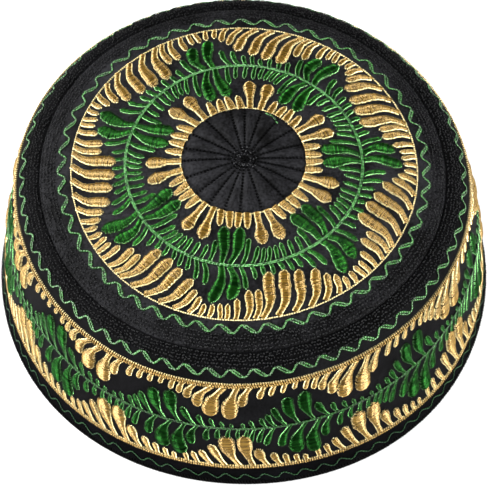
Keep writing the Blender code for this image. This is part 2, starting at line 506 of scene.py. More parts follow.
def seam_roll(side):
    """The cloth turns over its edge into the seam, on one side of it."""
    edge = 0.5 * SEAM_GAP
    shares = (1, 0.75, 0.55, 0.38, 0.24)  # how much of the roll's width is left before the seam
    roll = [(share * SEAM_ROLL, SEAM_DEPTH * (1 - share) ** SEAM_CURVE) for share in shares]
    roll += [(edge, SEAM_DEPTH), (edge, ALLOWANCE_DEPTH)]
    roll += [(edge + ALLOWANCE_WALL, ALLOWANCE_DEPTH), (edge + ALLOWANCE_WALL, WALL)]
    return [(CROWN_SEAM + side * away, depth) for away, depth in roll]


# %% Crown panel
CROWN_INSIDE = (66, 54, 40, 24, 0)  # rows of its inner side, in mm from the pole
crown_rows = [0.0] + rows(1.4, 22.4, 1.0) + [DISC_EDGE - 0.05 * MM, DISC_EDGE + 0.05 * MM]
crown_rows += rows(24, 66, 3.0) + rows(67, 71.2, 0.8)
crown_section = [(s, 0.0) for s in crown_rows] + seam_roll(-1) + [(s * MM, WALL) for s in CROWN_INSIDE]
crown_cloth = turned_cloth("crown_cloth", crown_section, round_map, CROWN_TWILL)

# %% Side band
BAND_INSIDE = (120, 103, 89, 85, 81.5)
band_rows = rows(78, 90, 0.8) + rows(93, LAP_TOP / MM, 3.0)
tongue = [
    (LAP_TOP, OUTER_PLY + SEAM_GAP),
    (LAP_TOP + LAP_LENGTH, OUTER_PLY + SEAM_GAP),
    (LAP_TOP + LAP_LENGTH, WALL),
]
band_section = seam_roll(1)[::-1] + [(s, 0.0) for s in band_rows] + tongue
band_section += [(LAP_TOP, WALL)] + [(s * MM, WALL) for s in BAND_INSIDE]
band_cloth = turned_cloth("band_cloth", band_section, strip_map, WALL_TWILL)

# %% Hem strip
strip_top = LAP_TOP + SEAM_GAP
ledge = LAP_TOP + LAP_LENGTH + SEAM_GAP
hem_section = [(s, 0.0) for s in rows(strip_top / MM, HEM / MM - 0.5, 1.6)]
hem_section += [(HEM - 0.15 * MM, 0.15 * MM), (HEM, 0.5 * MM), (HEM, WALL), (HEM - 1.2 * MM, WALL)]
hem_section += [(ledge, WALL), (ledge, OUTER_PLY), (strip_top, OUTER_PLY)]
hem_cloth = turned_cloth("hem_cloth", hem_section, strip_map, HEM_TWILL)

# %% [markdown]
# ## One stitch
#
# A satin stitch is a loop of thread that comes up on one side of a leaf, arches over it and goes down on
# the other side. All the embroidery repeats that shape, so it is modelled only twice: with a flat back
# for the broad stitches of the leaves, and rounder for the short ones of lines and borders. Each is an
# arch of a three-sided thread that looks round because it is shaded smooth. It is one unit high and one
# unit long on either side of its middle, and each stitch scales it to its own size. A texture of
# stitches on smooth leaves would be lighter, but only real arches catch the light as thread does.


# %% Stitch shape
def arch_of_thread(name, profile, thickness, share=1.0):
    """An arch from x = -1 to x = 1, of a three-sided thread.

    profile gives (x, height) from the arch's middle to its end. share is how much of a full stitch's
    length its UV map covers, around the middle.
    """
    stations = [(-x, z) for x, z in profile[::-1]] + [(x, z) for x, z in profile if x > 0]
    section = ((-1, -0.5), (0, 0.5), (1, -0.5))
    points = [(x, side, z + thickness * out) for x, z in stations for side, out in section]
    along = [0.5 + 0.5 * share * x for x, _ in stations for _ in section]
    faces = []
    last = len(stations) - 1
    for station in range(last):
        for side in range(3):
            here, beside = 3 * station + side, 3 * station + (side + 1) % 3
            faces.append((here, beside, beside + 3, here + 3))
    faces += [(2, 1, 0), tuple(3 * last + side for side in range(3))]
    mesh = bpy.data.meshes.new(name)
    mesh.from_pydata(points, [], faces)
    lay = mesh.uv_layers.new(name="along thread").data
    for loop in mesh.loops:
        lay[loop.index].uv = (along[loop.vertex_index], (loop.vertex_index % 3) / 3)
    mesh.shade_smooth()
    return bpy.data.objects.new(name, mesh)


satin_arch = arch_of_thread("satin arch", ((0.45, 1.0), (0.86, 0.62), (1.0, -0.35)), 0.28)
short_arch = arch_of_thread("short arch", ((0.0, 1.0), (0.7, 0.8), (1.0, -0.3)), 0.4, share=0.5)
for arch in (satin_arch, short_arch):
    print(arch.name, "has", len(arch.data.polygons), "faces")

# %% [markdown]
# ## Rows of stitches
#
# Every leaf, ring and seam is a path with a width. Copying stitches by hand along some 850 paths
# would be slow and stiff. A Geometry Nodes tree does it once for all: it walks along each path at the
# stitch pitch, sets a stitch across the path, scales it to the width that the path has there, and turns
# and sizes it a little at random, as a machine does on springy cloth. At the end the copies are
# made real and get their thread.

# %% Geometry Nodes tree for rows of stitches
STITCH_INPUTS = (
    # (name, kind, default)
    ("Stitch", "NodeSocketObject", None),
    ("Thread", "NodeSocketMaterial", None),
    ("Pitch", "NodeSocketFloat", 0.45 * MM),
    ("Thread Half Width", "NodeSocketFloat", 0.29 * MM),
    ("Turn", "NodeSocketFloat", 0.0),
    ("Turn Jitter", "NodeSocketFloat", 0.06),
    ("Size Jitter", "NodeSocketFloat", 0.10),
    ("Place Jitter", "NodeSocketFloat", 0.05 * MM),
    ("Seed", "NodeSocketInt", 1),
)


def stitch_tree():
    tree = bpy.data.node_groups.new("rows of stitches", "GeometryNodeTree")
    tree.interface.new_socket("Paths", in_out="INPUT", socket_type="NodeSocketGeometry")
    for name, kind, default in STITCH_INPUTS:
        socket = tree.interface.new_socket(name, in_out="INPUT", socket_type=kind)
        if default is not None:
            socket.default_value = default
    tree.interface.new_socket("Stitches", in_out="OUTPUT", socket_type="NodeSocketGeometry")
    given = add_node(tree, "NodeGroupInput").outputs

    def read(name, kind="FLOAT"):
        """What the path says of itself there."""
        return add_node(tree, "GeometryNodeInputNamedAttribute", {"Name": name}, data_type=kind).outputs[0]

    def compute(operation, a, b):
        return add_node(tree, "ShaderNodeMath", {0: a, 1: b}, operation=operation).outputs[0]

    def chance(low, high, shift):
        """A random number for each stitch. shift keeps it apart from the others with the same seed."""
        ends = {2: low, 3: high, "Seed": compute("ADD", given["Seed"], shift)}
        return add_node(tree, "FunctionNodeRandomValue", ends, data_type="FLOAT").outputs[1]

    # places along the paths, each slipped a little
    paths = add_node(tree, "GeometryNodeMeshToCurve", {"Mesh": given["Paths"]}).outputs[0]
    walk = {"Curve": paths, "Length": given["Pitch"]}
    spaced = add_node(tree, "GeometryNodeResampleCurve", walk, mode="LENGTH").outputs[0]
    cube = {0: (-1, -1, -1), 1: (1, 1, 1), "Seed": given["Seed"]}
    anywhere = add_node(tree, "FunctionNodeRandomValue", cube, data_type="FLOAT_VECTOR").outputs[0]
    jitter = {0: anywhere, "Scale": given["Place Jitter"]}
    slip = add_node(tree, "ShaderNodeVectorMath", jitter, operation="SCALE").outputs[0]
    spaced = add_node(tree, "GeometryNodeSetPosition", {"Geometry": spaced, "Offset": slip}).outputs[0]
    # the size of each stitch
    smaller = compute("SUBTRACT", 1.0, given["Size Jitter"])
    larger = compute("ADD", 1.0, given["Size Jitter"])
    wide = compute("MULTIPLY", read("half width"), chance(smaller, larger, 23))
    high = compute("MULTIPLY", read("height"), chance(0.96, 1.04, 37))
    sides = {0: wide, 1: given["Thread Half Width"], 2: high}
    size = add_node(tree, "ShaderNodeCombineXYZ", sides).outputs[0]
    # which way it lies: off the cloth, along the path and turned a little
    along = add_node(tree, "GeometryNodeInputTangent").outputs[0]
    axes = {"Primary Axis": read("up", "FLOAT_VECTOR"), "Secondary Axis": along}
    kind = "FunctionNodeAxesToRotation"
    facing = add_node(tree, kind, axes, primary_axis="Z", secondary_axis="Y").outputs[0]
    less = compute("MULTIPLY", given["Turn Jitter"], -1.0)
    turn = compute("ADD", given["Turn"], chance(less, given["Turn Jitter"], 11))
    spin = {"Axis": (0, 0, 1), "Angle": turn}
    spin = add_node(tree, "FunctionNodeAxisAngleToRotation", spin).outputs[0]
    turned = {"Rotation": facing, "Rotate By": spin}
    facing = add_node(tree, "FunctionNodeRotateRotation", turned, rotation_space="LOCAL").outputs[0]
    # the copies, each with its own tone, made real
    shape = add_node(tree, "GeometryNodeObjectInfo", {"Object": given["Stitch"]}, transform_space="ORIGINAL")
    copying = {"Points": spaced, "Instance": shape.outputs["Geometry"], "Rotation": facing, "Scale": size}
    copies = add_node(tree, "GeometryNodeInstanceOnPoints", copying).outputs[0]
    tone = {"Geometry": copies, "Name": "tone", "Value": chance(0.0, 1.0, 53)}
    kind = "GeometryNodeStoreNamedAttribute"
    toned = add_node(tree, kind, tone, data_type="FLOAT", domain="INSTANCE").outputs[0]
    real = add_node(tree, "GeometryNodeRealizeInstances", {"Geometry": toned}).outputs[0]
    smooth = add_node(tree, "GeometryNodeSetShadeSmooth", {0: real}).outputs[0]
    dye = {"Geometry": smooth, "Material": given["Thread"]}
    dyed = add_node(tree, "GeometryNodeSetMaterial", dye).outputs[0]
    add_node(tree, "NodeGroupOutput", {0: dyed})
    return tree


STITCHES = stitch_tree()
print("the tree of stitches has", len(STITCHES.nodes), "nodes")


# %% Sewing: paths in, one mesh of thread out
def path(distance, turn, half_width, height, closed=False, lift=0.0):
    """A row of stitches on the cap: where it runs, and how wide and high its stitches are there."""
    distance, turn = np.broadcast_arrays(np.asarray(distance, float), np.asarray(turn, float))
    points = on_cap(distance, turn, cloth_level(distance, turn) + lift)
    full = np.ones(len(points))
    sizes = {"half width": full * half_width, "height": full * height}
    return {"points": points, "up": cap_normal(distance, turn), "closed": closed, **sizes}


def mesh_of_paths(name, paths):
    """The paths as chains of edges, whose points carry what each stitch has to know."""
    edges, start = [], 0
    for row in paths:
        end = start + len(row["points"])
        edges += [(k, k + 1) for k in range(start, end - 1)]
        if row["closed"]:
            edges.append((end - 1, start))
        start = end
    mesh = bpy.data.meshes.new(name)
    mesh.from_pydata(np.concatenate([row["points"] for row in paths]).tolist(), edges, [])
    for label in ("half width", "height"):
        values = np.concatenate([row[label] for row in paths]).astype(np.float32)
        mesh.attributes.new(label, "FLOAT", "POINT").data.foreach_set("value", values)
    ups = np.concatenate([row["up"] for row in paths]).astype(np.float32)
    mesh.attributes.new("up", "FLOAT_VECTOR", "POINT").data.foreach_set("vector", ups.ravel())
    return mesh


def sew(name, paths, thread, stitch=satin_arch, **inputs):
    """One plain mesh of the stitches along some paths. inputs are the tree's, as in turn_jitter=0.1."""
    guide = bpy.data.objects.new(name + " paths", mesh_of_paths(name + " paths", paths))
    bpy.context.scene.collection.objects.link(guide)
    sewing = guide.modifiers.new("rows of stitches", "NODES")
    sewing.node_group = STITCHES
    chosen = {"stitch": stitch, "thread": thread, **inputs}
    for item in STITCHES.interface.items_tree:
        label = item.name.lower().replace(" ", "_")
        if label in chosen:
            sewing[item.identifier] = chosen[label]
    graph = bpy.context.evaluated_depsgraph_get()
    made = bpy.data.meshes.new_from_object(guide.evaluated_get(graph), depsgraph=graph)
    guide.modifiers.remove(sewing)
    bpy.data.objects.remove(guide)
    made.name = name
    piece = bpy.data.objects.new(name, made)
    bpy.context.scene.collection.objects.link(piece)
    made.calc_loop_triangles()
    print(f"{name}: {len(paths)} paths, {len(made.loop_triangles)} triangles")
    return piece


# %% [markdown]
# ## Thread
#
# The sprays are sewn in rayon embroidery thread. Rayon is smooth and glossy, so a bundle of it is
# deep in colour from one side and almost white from another. Its own colour is dark, and a gloss that
# is partly metallic keeps that colour vivid where it shines. Such a thread is 0.4 mm thick. Here it is
# 0.6 mm wide, because finer stitches are lost at the photograph's size, and its twist has three turns
# in each stitch, which is one turn in a millimetre on a leaf 3 mm wide.


# %% Thread materials
TWIST_TURNS = 3
EDGE_HIGHLIGHT_REACH = (0.10 * MM, 0.36 * MM)  # the painted highlight is full this close to a stitch's end, and gone from here on


# ends is the colour of the painted highlight on the last part of a stitch
def thread(name, deep, bright, ends, roughness, gloss, lustre=0.0, gloss_tint="#ffffff"):
    material = bpy.data.materials.new(name)
    material.use_nodes = True
    tree = material.node_tree
    shader = tree.nodes["Principled BSDF"]
    tone = add_node(tree, "ShaderNodeAttribute", attribute_name="tone").outputs["Fac"]
    tones = {0: tone, 6: linear(deep), 7: linear(bright)}
    colour = add_node(tree, "ShaderNodeMix", tones, data_type="RGBA").outputs[2]
    # the last third of a millimetre of a satin stitch is painted pale, as painted highlight where the thread
    # turns down at the leaf's edge
    lay = add_node(tree, "ShaderNodeUVMap", uv_map="along thread").outputs["UV"]
    along = add_node(tree, "ShaderNodeSeparateXYZ", {0: lay}).outputs["X"]
    centred = {0: along, 1: 2.0, 2: -1.0}
    outward = add_node(tree, "ShaderNodeMath", centred, operation="MULTIPLY_ADD").outputs[0]
    outward = add_node(tree, "ShaderNodeMath", {0: outward}, operation="ABSOLUTE").outputs[0]
    inward = add_node(tree, "ShaderNodeMath", {0: 1.0, 1: outward}, operation="SUBTRACT").outputs[0]
    half = add_node(tree, "ShaderNodeAttribute", attribute_name="half width").outputs["Fac"]
    inward = add_node(tree, "ShaderNodeMath", {0: inward, 1: half}, operation="MULTIPLY").outputs[0]
    highlight_reach = {0: inward, 1: EDGE_HIGHLIGHT_REACH[0], 2: EDGE_HIGHLIGHT_REACH[1], 3: 1.0, 4: 0.0}
    painted_edge_highlight = add_node(tree, "ShaderNodeMapRange", highlight_reach).outputs[0]
    tones = {0: painted_edge_highlight, 6: colour, 7: linear(ends)}
    colour = add_node(tree, "ShaderNodeMix", tones, data_type="RGBA").outputs[2]
    # a diagonal band of the wave texture is twice as long as a straight one
    twisted = {"Vector": lay, "Scale": 2 * WAVE_PERIOD * TWIST_TURNS, "Distortion": 0.5}
    twist = add_node(tree, "ShaderNodeTexWave", twisted, bands_direction="DIAGONAL").outputs["Fac"]
    relief = {"Strength": 0.15, "Distance": 0.05 * MM, "Height": twist}
    raised = add_node(tree, "ShaderNodeBump", relief).outputs[0]
    # the fibres run along the thread, so its gloss is narrow along it and wide across it
    fibres = add_node(tree, "ShaderNodeTangent", direction_type="UV_MAP", uv_map="along thread").outputs[0]
    tree.links.new(colour, shader.inputs["Base Color"])
    tree.links.new(raised, shader.inputs["Normal"])
    tree.links.new(fibres, shader.inputs["Tangent"])
    shader.inputs["Anisotropic"].default_value = 0.8
    shader.inputs["Anisotropic Rotation"].default_value = 0.25
    shader.inputs["Roughness"].default_value = roughness
    shader.inputs["Specular IOR Level"].default_value = 1.0
    shader.inputs["IOR"].default_value = gloss
    shader.inputs["Specular Tint"].default_value = linear(gloss_tint)
    shader.inputs["Metallic"].default_value = lustre
    return material


def green_rayon(use, deep, bright, ends, gloss, lustre):
    """Green rayon thread for one place on the cap, painted paler or deeper there as painted light and shade.
    """
    return thread("green rayon thread" + use, deep, bright, ends, 0.27, gloss, lustre, "#e0f4dc")


# gold that is brown away from the light and cream in it, with pale outlines painted on the ends of its
# stitches as painted highlight
GOLD_RAYON = thread("gold rayon thread", "#564014", "#7c5f25", "#f4e6b0", 0.27, 1.78, 0.5, "#ffecc0")
# leaf green that is deep away from the light, with painted highlight as pale outlines too
GREEN_RAYON = green_rayon("", "#062008", "#1e5219", "#789e70", 1.2, 0.8)
# the same green painted deeper for the wall, as painted shade, with painted pale outlines of its own
WALL_GREEN_RAYON = green_rayon(", wall", "#031803", "#133e12", "#6c9c66", 1.15, 0.8)
# short stitches cover only the middle of a stitch, so the painted end colour shows only on the narrowest of
# them. The crown's stem is painted pale, as painted light, and the wall's stem deep, as painted shade; the
# wavy lines are mid green
PALE_GREEN_RAYON = green_rayon(", crown stem", "#0e340e", "#3e743a", "#123412", 1.45, 0.2)
WAVY_GREEN_RAYON = green_rayon(", wavy lines", "#061e06", "#2e5c2a", "#0e2c0e", 1.45, 0.2)
DEEP_GREEN_RAYON = green_rayon(", wall stem", "#041604", "#1e441b", "#1e441b", 1.3, 0.2)
# the line along the hem is finer and barely shows against the black
DARK_GREEN_RAYON = thread(
    "dark green rayon thread", "#031208", "#0d2a0e", "#0d2a0e", 0.40, 1.3, gloss_tint="#b0e8b8"
)
# black on black: the rows of the shoulder show as a faint grain
BLACK_POLYESTER = thread("black polyester thread", "#020203", "#0a0a0b", "#0a0a0b", 0.52, 1.18)
# around the knot the same black thread is painted paler, as painted highlight, and is glossier, so it shines
# in small dots
GLINT_PAINTED_POLYESTER = thread("black polyester thread, painted glints", "#040405", "#18181b", "#18181b", 0.34, 1.3)
# cotton drinks the light, so the quilting shows as rows of black dots
MATT_BLACK_COTTON = thread("matt black cotton thread", "#010101", "#030303", "#030303", 0.8, 1.06)

# %% [markdown]
# ## Leaves
#
# The pattern is drawn as leaves. Each leaf runs from a foot on a ring or stem to a tip, may bow to one
# side, and has a width at its foot and at its widest. The tables give one repeat of each spray, and a
# loop turns the repeat around the cap. The cloth creeps under the machine, so the crown pattern sits
# a little off centre, and each spray slips by a few degrees on its way around.


# %% One leaf
CROWN_SHIFT = (0.67 * MM, -0.56 * MM)
CROWN_CREEP, CROWN_CREEP_TURN = math.radians(1.2), math.radians(222)
WALL_CREEP_AT, WALL_CREEP = (86, 112, 136), (0.4, -0.8, -2.7)  # mm from the pole, and degrees there
SAG, SAG_TURN, SAG_WIDTH = 2.6 * MM, 350, 38  # the lower border sags near this turn, in degrees
SAG_ZONE = (127 * MM, 134.5 * MM)
LEAF_POINTS = 40
LONG_LEAF = 16  # a leaf this long, in mm, sways in full
LEAF_EDGE_HEIGHT = 0.22 * MM
LEAF_PLUMPNESS = 0.34  # how much higher a leaf is for each mm of its half width


def placed_on_crown(distance, turn):
    turn = turn + CROWN_CREEP * np.cos(turn - CROWN_CREEP_TURN)
    return moved_by(distance, turn, *CROWN_SHIFT)


def placed_on_wall(distance, turn):
    slip = np.interp(distance / MM, WALL_CREEP_AT, WALL_CREEP)
    away = (np.degrees(turn) - SAG_TURN + 180) % 360 - 180
    sag = SAG * np.exp(-((away / SAG_WIDTH) ** 2)) * smooth_step(distance, *SAG_ZONE)
    return distance + sag, turn + np.radians(slip) * np.sin(turn - math.radians(270))


def slipped(turn, slips):
    """Sewing that slipped around the cap. slips says by how many degrees, at even steps of turn."""
    at = np.arange(len(slips)) * 360 / len(slips)
    return turn + np.radians(np.interp(np.degrees(turn), at, slips, period=360))


def leaf(row, start, foot, placed, slips, swell=(0.10, 0.65), sway=0.0, fuller=1.0):
    """The path of one leaf. swell is where along it the leaf grows from its foot's to its full width."""
    tip_turn, tip, foot_turn, width, foot_width, bow = row
    width, foot_width = width * fuller, foot_width * fuller
    t = np.linspace(0, 1, LEAF_POINTS)
    distance = MM * (foot + (tip - foot) * t)
    radius = cap_radius(distance)
    run = math.hypot(tip - foot, radius.mean() / MM * math.radians(tip_turn - foot_turn))
    sway = sway * min(1, run / LONG_LEAF) ** 2
    sideways = MM * (bow * np.sin(math.pi * t) + sway * np.sin(2 * math.pi * t)) / radius
    turn = np.radians(start + foot_turn + (tip_turn - foot_turn) * t) + sideways
    # the tip is rounded off as half an ellipse, a little longer than wide, and ends in a short last stitch
    rounding = 1 - min(0.5, 0.6 * width / run)
    rounded = np.sqrt(np.maximum(1 - (np.maximum(t - rounding, 0) / (1 - rounding)) ** 2, 0.08))
    half = 0.5 * MM * (foot_width + (width - foot_width) * smooth_step(t, *swell)) * rounded
    distance, turn = placed(distance, slipped(turn, slips))
    return path(distance, turn, half, LEAF_EDGE_HEIGHT + LEAF_PLUMPNESS * half)


# %% Sprays of the crown
CROWN_REPEATS = 7
CROWN_TURN = 360 / CROWN_REPEATS
VINE_RING = 42.7

OUTER_GOLD = (
    # (tip turn, tip distance, foot turn, width, foot width, bow), in degrees and mm
    (0.0, 46.3, -4.9, 4.4, 2.4, 1.1),
    (6.9, 46.9, 0.1, 4.4, 2.4, 1.1),
    (12.7, 48.4, 5.7, 4.0, 2.4, 1.1),
    (19.0, 50.6, 11.2, 3.8, 2.3, 1.0),
    (21.8, 54.0, 16.6, 2.8, 2.2, 0.8),
    (24.2, 56.0, 21.8, 2.6, 2.0, 0.4),
    (26.3, 58.2, 25.5, 2.2, 1.8, 0.2),
    (29.2, 57.9, 28.7, 2.2, 1.8, 0.2),
    (31.7, 57.3, 32.4, 2.0, 1.8, 0.0),
    (34.5, 57.2, 34.6, 2.0, 1.8, 0.1),
    (37.7, 55.2, 37.5, 2.4, 1.9, 0.3),
    (42.1, 52.2, 41.0, 3.0, 2.0, 0.8),
    (45.9, 52.2, 44.0, 2.8, 2.0, 0.8),
)
INNER_GOLD = (
    (0.0, 34.9, 0.6, 5.1, 2.5, 0.0),
    (12.3, 35.0, 10.0, 5.0, 2.5, 0.0),
    (20.6, 28.2, 17.8, 2.4, 3.0, 0.0),
    (28.7, 28.4, 26.0, 2.4, 3.0, 0.0),
    (34.2, 28.0, 35.0, 2.4, 3.0, 0.0),
    (42.3, 28.3, 42.8, 2.2, 3.0, 0.0),
)
VINE_INWARD = (
    (-5.8, 28.5, -2.5, 4.4, 2.2, 0.7),
    (5.8, 28.3, 1.5, 4.4, 2.2, 0.9),
    (11.7, 32.4, 7.9, 1.9, 1.6, 0.3),
    (16.5, 35.9, 12.7, 1.8, 1.5, 0.2),
    (19.6, 36.7, 17.0, 1.7, 1.5, 0.2),
    (22.8, 36.7, 20.5, 1.7, 1.5, 0.2),
    (26.1, 36.8, 25.0, 1.7, 1.5, 0.1),
    (29.5, 36.4, 29.0, 1.7, 1.5, 0.1),
    (34.4, 36.7, 33.5, 1.7, 1.5, 0.1),
    (39.3, 36.6, 38.5, 1.7, 1.5, 0.1),
    (43.0, 34.3, 43.0, 2.0, 1.6, 0.3),
)
VINE_OUTWARD = (
    (-3.7, 57.0, -2.3, 4.4, 2.3, 1.3),
    (3.0, 55.2, 1.8, 4.4, 2.3, 2.0),
    (9.4, 51.3, 7.0, 2.0, 1.6, 0.6),
    (13.6, 47.8, 12.5, 1.8, 1.5, 0.3),
    (17.4, 46.7, 17.0, 1.7, 1.5, 0.2),
    (21.9, 47.2, 21.6, 1.7, 1.5, 0.2),
    (26.7, 46.5, 25.5, 1.7, 1.5, 0.2),
    (30.4, 47.8, 29.5, 1.7, 1.5, 0.2),
    (34.5, 47.8, 33.3, 1.8, 1.5, 0.2),
    (39.4, 50.0, 36.9, 1.9, 1.6, 0.5),
    (43.9, 51.0, 40.8, 2.1, 1.7, 0.8),
)


# how far each spray slipped around the cap, in degrees, at every 20 degrees of turn
OUTER_GOLD_SLIPS = (
    2.5, 2.5, 2.3, 1.0, 0.75, 0.75, 1, 0.7, 0,
    -0.5, -0.25, 0.2, 0.25, 0.25, 0.25, 0.5, 1.1, 2,
)
INNER_GOLD_SLIPS = (
    -0.75, -0.75, -0.75, -1, -1, -1.2, -0.8, -0.5, -0.5,
    0, 0.3, 0.7, 0.5, -0.3, -1.2, -1.2, -0.6, -0.5,
)
VINE_INWARD_SLIPS = (
    1.5, 1.75, 1.6, 1.5, 0.8, 0.8, 1.1, 0.3, 0.25,
    0.4, 0, -0.1, -0.4, -0.3, 0, -0.4, 0, 0.75,
)
VINE_OUTWARD_SLIPS = (
    2.2, 2.2, 2, 1.75, 1.5, 1, 0.9, 0.25, 0,
    0, -0.5, -0.5, -0.25, -0.25, -0.45, -0.25, -0.25, 1,
)


def crown_spray(table, slips, start, foot, **shape):
    """All repeats of one spray. start is the turn of the first, foot the distance of its leaves' feet."""
    return [
        leaf(row, start + CROWN_TURN * k, foot, placed_on_crown, slips, **shape)
        for k in range(CROWN_REPEATS)
        for row in table
    ]


crown_gold = sew(
    "crown_gold_leaves",
    crown_spray(OUTER_GOLD, OUTER_GOLD_SLIPS, start=22.25, foot=62.3, sway=0.65)
    + crown_spray(INNER_GOLD, INNER_GOLD_SLIPS, start=24.0, foot=22.5, swell=(0.35, 0.8)),
    GOLD_RAYON,
    seed=3,
)
crown_green = sew(
    "crown_green_leaves",
    crown_spray(VINE_INWARD, VINE_INWARD_SLIPS, start=3.1, foot=41.9, sway=0.3, fuller=1.1)
    + crown_spray(VINE_OUTWARD, VINE_OUTWARD_SLIPS, start=3.1, foot=43.4, sway=0.3, fuller=1.1),
    GREEN_RAYON,
    seed=5,
)

# %% Sprays of the wall
WALL_REPEATS = 11
WALL_TURN = 360 / WALL_REPEATS
WALL_STRANDS = (111.0, 111.6)  # the two strands of the wall's stem

WALL_GOLD_DOWNWARD = (
    # (tip turn, tip distance, foot turn, width, foot width, bow), in degrees and mm
    (261.5, 104.3, 264.8, 5.9, 2.3, -1.9),
    (266.2, 105.4, 268.0, 5.9, 2.3, -1.1),
    (269.0, 98.3, 271.1, 3.6, 2.1, -0.8),
    (273.3, 94.6, 274.5, 2.6, 1.9, -0.3),
    (276.0, 93.4, 277.0, 2.2, 1.8, -0.2),
    (278.9, 92.8, 279.6, 2.1, 1.8, -0.1),
    (281.7, 91.8, 282.3, 1.9, 1.7, -0.1),
    (284.4, 93.2, 285.1, 2.1, 1.8, -0.2),
    (286.5, 94.3, 287.4, 2.4, 1.8, -0.4),
    (288.5, 96.2, 290.3, 3.1, 1.9, -0.9),
    (291.1, 99.9, 294.5, 4.0, 2.1, -2.0),
)
WALL_GOLD_UPWARD = (
    (264.9, 116.3, 267.9, 5.9, 2.2, -1.5),
    (269.2, 115.7, 271.3, 5.5, 2.2, -1.0),
    (272.4, 124.2, 274.7, 3.9, 2.0, -0.6),
    (276.1, 127.5, 277.7, 2.8, 1.9, -0.3),
    (279.0, 129.0, 279.8, 2.4, 1.8, -0.1),
    (281.6, 130.3, 282.2, 2.1, 1.7, 0.0),
    (283.9, 131.3, 284.4, 1.9, 1.6, 0.0),
    (287.0, 129.8, 287.6, 2.0, 1.7, 0.0),
    (289.1, 128.6, 290.3, 2.2, 1.8, -0.1),
    (291.1, 126.7, 293.7, 2.6, 1.9, -0.3),
    (293.7, 122.3, 297.1, 3.3, 2.1, -0.4),
)
WALL_GREEN_UPWARD = (
    (276.3, 100.8, 279.2, 2.6, 1.3, -0.6),
    (279.8, 95.8, 282.4, 4.4, 1.4, -1.4),
    (284.2, 94.5, 286.2, 4.8, 1.4, -1.5),
    (287.0, 102.3, 289.9, 2.8, 1.3, -0.6),
    (291.0, 105.3, 292.2, 2.0, 1.2, -0.3),
    (293.9, 106.6, 294.8, 1.7, 1.1, -0.2),
    (296.4, 107.8, 297.0, 1.5, 1.1, -0.1),
    (298.8, 108.8, 299.2, 1.4, 1.1, -0.1),
    (301.5, 108.5, 302.0, 1.4, 1.1, -0.1),
    (303.5, 107.0, 304.3, 1.6, 1.1, -0.2),
    (306.0, 106.0, 307.2, 1.8, 1.2, -0.3),
    (307.5, 104.0, 309.3, 2.1, 1.2, -0.4),
)
WALL_GREEN_DOWNWARD = (
    (278.6, 123.6, 280.8, 3.1, 1.4, -1.1),
    (282.6, 128.6, 284.6, 5.1, 1.5, -2.1),
    (287.0, 130.3, 288.0, 5.0, 1.5, -2.1),
    (289.6, 123.0, 291.0, 3.1, 1.3, -1.4),
    (293.2, 119.4, 294.0, 2.3, 1.2, -0.8),
    (295.9, 117.8, 296.3, 1.9, 1.2, -0.5),
    (298.4, 117.5, 298.8, 1.7, 1.1, -0.4),
    (300.7, 117.2, 301.0, 1.6, 1.1, -0.3),
    (302.6, 117.7, 303.2, 1.6, 1.1, -0.3),
    (303.9, 119.2, 304.8, 1.8, 1.1, -0.3),
    (305.7, 119.7, 307.0, 2.0, 1.2, -0.4),
    (307.5, 121.8, 309.5, 2.3, 1.2, -0.5),
)


GOLD_DOWNWARD_SLIPS = (0.6, 0.3, 0, 0, 0, 0, 0, 0, -0.6, -1.2, -1, -0.1, 0, 0, 0, 0.5, 0.75, 0.9)
GOLD_UPWARD_SLIPS = (-1.2, -0.6, 0, 0, 0, 0, 0, 0, 0.6, 1.6, 1.75, 1.5, 1.25, 0.3, 0.25, 0.25, -0.7, -1.25)
GREEN_UPWARD_SLIPS = (-1.4, -0.8, 0, 0, 0, 0, 0, 0, -0.6, -1, -0.9, 0.75, 0.35, 0.25, 0.25, 0, -0.25, -1.5)
GREEN_DOWNWARD_SLIPS = (-0.9, -0.5, 0, 0, 0, 0, 0, 0, 0.4, 0.8, 1, 0.75, 0, 0, 0, 0, -0.5, -1)


def wall_spray(table, slips, foot, **shape):
    return [
        leaf(row, WALL_TURN * k, foot, placed_on_wall, slips, **shape)
        for k in range(WALL_REPEATS)
        for row in table
    ]


wall_gold = sew(
    "wall_gold_leaves",
    wall_spray(WALL_GOLD_DOWNWARD, GOLD_DOWNWARD_SLIPS, foot=88.3, swell=(0.2, 0.6))
    + wall_spray(WALL_GOLD_UPWARD, GOLD_UPWARD_SLIPS, foot=134.5, swell=(0.15, 0.7)),
    GOLD_RAYON,
    seed=7,
)
wall_green = sew(
    "wall_green_leaves",
    wall_spray(WALL_GREEN_UPWARD, GREEN_UPWARD_SLIPS, foot=WALL_STRANDS[0], fuller=1.08)
    + wall_spray(WALL_GREEN_DOWNWARD, GREEN_DOWNWARD_SLIPS, foot=WALL_STRANDS[1], fuller=1.12),
    WALL_GREEN_RAYON,
    seed=9,
)

# %% [markdown]
# ## Borders and stems
#
# Satin borders edge the sprays: a fine ring round the centre disc and round the crown, and two broader
# ones on the wall. They are the same stitches across a closed path. The stems of the vines are
# lines of small stitches that run along the path instead, so their stitches are turned a quarter.
# A loose end of the green thread still lies on the centre disc.


# %% Rings
RING_POINTS = 360
GOLD_RINGS = (
    # (distance, half width, height, how it is placed), in mm
    (22.7, 0.27, 0.36, placed_on_crown),
    (62.8, 0.27, 0.40, placed_on_crown),
    (86.7, 0.46, 0.62, None),
    (87.9, 0.72, 0.56, None),
    (134.8, 0.46, 0.52, placed_on_wall),
    (135.8, 0.52, 0.52, placed_on_wall),
)
VINE_STRANDS = (VINE_RING - 0.26, VINE_RING + 0.26)
RUNNING = {"turn": math.pi / 2, "turn_jitter": 0.12}


